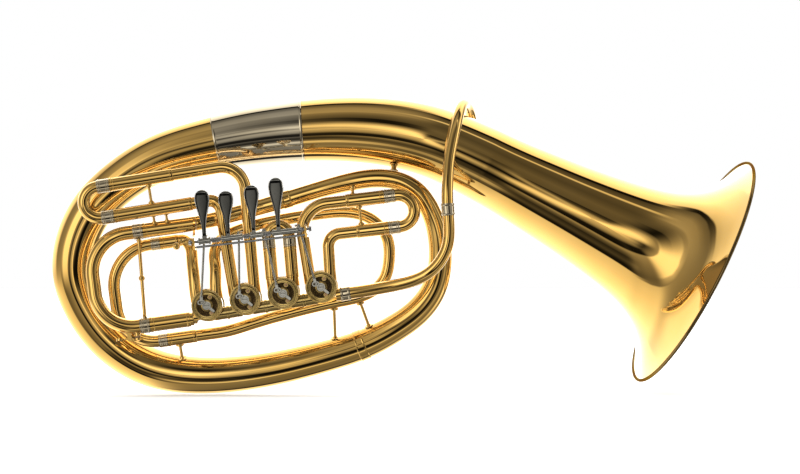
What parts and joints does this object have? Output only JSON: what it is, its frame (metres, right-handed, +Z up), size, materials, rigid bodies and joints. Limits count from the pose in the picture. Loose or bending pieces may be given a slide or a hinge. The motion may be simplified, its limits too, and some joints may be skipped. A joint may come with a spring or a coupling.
{
  "type": "tuba",
  "caption": "Small oval tuba-family horn with flaring bell, front-mounted rotary valves, finger keys, pull slides and wrap-around leadpipe",
  "frame": {"origin": "centre of the bounding box in plan, at floor height under the lowest point of the body bow", "axes": "+X along the body towards the bell, +Y from the key side to the back, +Z up"},
  "size_m": [0.7788, 0.2768, 0.3299],
  "materials": {
    "lacquered_brass": "clear gold lacquer over polished brass",
    "nickel_silver": "polished nickel silver",
    "nickel_key": "polished nickel plate",
    "rotor_brass": "turned brass",
    "machined_brass": "turned and polished brass",
    "steel": "bright steel",
    "cork": "cork composition"
  },
  "bodies": {
    "root": {"axle_screws": "steel", "bell": "lacquered_brass", "bell_rim_bead": "lacquered_brass", "bell_sleeve": "nickel_silver", "body_braces": "lacquered_brass", "bow_ferrules": "nickel_silver", "casing_knuckles": "machined_brass", "cork_bumpers": "cork", "cork_plates": "machined_brass", "finger_hook": "lacquered_brass", "front_bearing_plates": "machined_brass", "large_bow": "lacquered_brass", "leadpipe": "lacquered_brass", "leadpipe_ferrules": "nickel_silver", "lever_axle": "steel", "lever_bracket_left": "lacquered_brass", "lever_bracket_right": "lacquered_brass", "lever_rail": "steel", "lever_springs": "steel", "main_branch": "lacquered_brass", "mouthpiece_receiver": "nickel_silver", "rear_bearing_plates": "machined_brass", "rear_valve_caps": "lacquered_brass", "rotor_casings": "lacquered_brass", "second_bow": "lacquered_brass", "slide_1_branches": "lacquered_brass", "slide_2_branches": "lacquered_brass", "slide_3_branches": "lacquered_brass", "slide_4_branches": "lacquered_brass", "tuning_outer_legs": "lacquered_brass"},
    "key_1": {"lever_1": "nickel_key"},
    "valve_1": {"rotor_1": "rotor_brass", "stop_arm_1": "nickel_key"},
    "key_link_1": {"link_1": "nickel_key"},
    "key_2": {"lever_2": "nickel_key"},
    "valve_2": {"rotor_2": "rotor_brass", "stop_arm_2": "nickel_key"},
    "key_link_2": {"link_2": "nickel_key"},
    "key_3": {"lever_3": "nickel_key"},
    "valve_3": {"rotor_3": "rotor_brass", "stop_arm_3": "nickel_key"},
    "key_link_3": {"link_3": "nickel_key"},
    "key_4": {"lever_4": "nickel_key"},
    "valve_4": {"rotor_4": "rotor_brass", "stop_arm_4": "nickel_key"},
    "key_link_4": {"link_4": "nickel_key"},
    "main_tuning_slide": {"tuning_crook": "lacquered_brass", "tuning_inner_legs": "nickel_silver", "tuning_brace": "lacquered_brass", "water_key_saddle": "lacquered_brass"},
    "water_key": {"water_key_lever": "lacquered_brass", "water_key_pad": "cork"},
    "slide_1": {"slide_1_crook": "lacquered_brass", "slide_1_inner_legs": "nickel_silver"},
    "slide_2": {"slide_2_crook": "lacquered_brass", "slide_2_inner_legs": "nickel_silver"},
    "slide_3": {"slide_3_crook": "lacquered_brass", "slide_3_inner_legs": "nickel_silver"},
    "slide_4": {"slide_4_crook": "lacquered_brass", "slide_4_inner_legs": "nickel_silver"}
  },
  "joints": [
    {"name": "key_1_press", "type": "hinge", "parent": "root", "child": "key_1", "pos_m": [-0.13373, -0.13053, 0.17906], "axis": [-0.9934, 0, -0.1149], "range_deg": [0, 20], "stiffness_Nm_per_rad": 0.15},
    {"name": "rotor_1_turn", "type": "hinge", "parent": "root", "child": "valve_1", "pos_m": [-0.0892, -0.08453, 0.11971], "axis": [0, -1, 0], "range_deg": [0, 90]},
    {"name": "link_1_swing", "type": "hinge", "parent": "key_1", "child": "key_link_1", "pos_m": [-0.11323, -0.1069, 0.18563], "axis": [-0.9934, 0, -0.1149], "range_deg": [-20, 0]},
    {"name": "key_2_press", "type": "hinge", "parent": "root", "child": "key_2", "pos_m": [-0.16033, -0.13053, 0.17598], "axis": [-0.9934, 0, -0.1149], "range_deg": [0, 20], "stiffness_Nm_per_rad": 0.15},
    {"name": "rotor_2_turn", "type": "hinge", "parent": "root", "child": "valve_2", "pos_m": [-0.13051, -0.08453, 0.11307], "axis": [0, -1, 0], "range_deg": [0, 90]},
    {"name": "link_2_swing", "type": "hinge", "parent": "key_2", "child": "key_link_2", "pos_m": [-0.15103, -0.1069, 0.18125], "axis": [-0.9934, 0, -0.1149], "range_deg": [-20, 0]},
    {"name": "key_3_press", "type": "hinge", "parent": "root", "child": "key_3", "pos_m": [-0.18783, -0.13053, 0.1728], "axis": [-0.9934, 0, -0.1149], "range_deg": [0, 20], "stiffness_Nm_per_rad": 0.15},
    {"name": "rotor_3_turn", "type": "hinge", "parent": "root", "child": "valve_3", "pos_m": [-0.17182, -0.08453, 0.10642], "axis": [0, -1, 0], "range_deg": [0, 90]},
    {"name": "link_3_swing", "type": "hinge", "parent": "key_3", "child": "key_link_3", "pos_m": [-0.17799, -0.1069, 0.17813], "axis": [-0.9934, 0, -0.1149], "range_deg": [-20, 0]},
    {"name": "key_4_press", "type": "hinge", "parent": "root", "child": "key_4", "pos_m": [-0.21313, -0.13053, 0.16987], "axis": [-0.9934, 0, -0.1149], "range_deg": [0, 20], "stiffness_Nm_per_rad": 0.15},
    {"name": "rotor_4_turn", "type": "hinge", "parent": "root", "child": "valve_4", "pos_m": [-0.21313, -0.08453, 0.09977], "axis": [0, -1, 0], "range_deg": [0, 90]},
    {"name": "link_4_swing", "type": "hinge", "parent": "key_4", "child": "key_link_4", "pos_m": [-0.21539, -0.1069, 0.17381], "axis": [-0.9934, 0, -0.1149], "range_deg": [-20, 0]},
    {"name": "main_tuning_pull", "type": "slide", "parent": "root", "child": "main_tuning_slide", "axis": [-0.9905, 0, -0.1374], "range_m": [0, 0.03]},
    {"name": "slide_1_pull", "type": "slide", "parent": "root", "child": "slide_1", "axis": [0.9934, 0, 0.1149], "range_m": [0, 0.022]},
    {"name": "slide_2_pull", "type": "slide", "parent": "root", "child": "slide_2", "axis": [-0.0872, 0, 0.9962], "range_m": [0, 0.02]},
    {"name": "slide_3_pull", "type": "slide", "parent": "root", "child": "slide_3", "axis": [-0.9873, 0, -0.1588], "range_m": [0, 0.05]},
    {"name": "slide_4_pull", "type": "slide", "parent": "root", "child": "slide_4", "axis": [-0.9905, 0, -0.1374], "range_m": [0, 0.01]},
    {"name": "water_key_open", "type": "hinge", "parent": "main_tuning_slide", "child": "water_key", "pos_m": [-0.29786, -0.08453, 0.06355], "axis": [0, 1, 0], "range_deg": [0, 18], "stiffness_Nm_per_rad": 0.05}
  ],
  "couplings": [
    {"joint": "rotor_1_turn", "follows": "key_1_press", "ratio": 4.5},
    {"joint": "link_1_swing", "follows": "key_1_press", "ratio": -1},
    {"joint": "rotor_2_turn", "follows": "key_2_press", "ratio": 4.5},
    {"joint": "link_2_swing", "follows": "key_2_press", "ratio": -1},
    {"joint": "rotor_3_turn", "follows": "key_3_press", "ratio": 4.5},
    {"joint": "link_3_swing", "follows": "key_3_press", "ratio": -1},
    {"joint": "rotor_4_turn", "follows": "key_4_press", "ratio": 4.5},
    {"joint": "link_4_swing", "follows": "key_4_press", "ratio": -1}
  ]
}
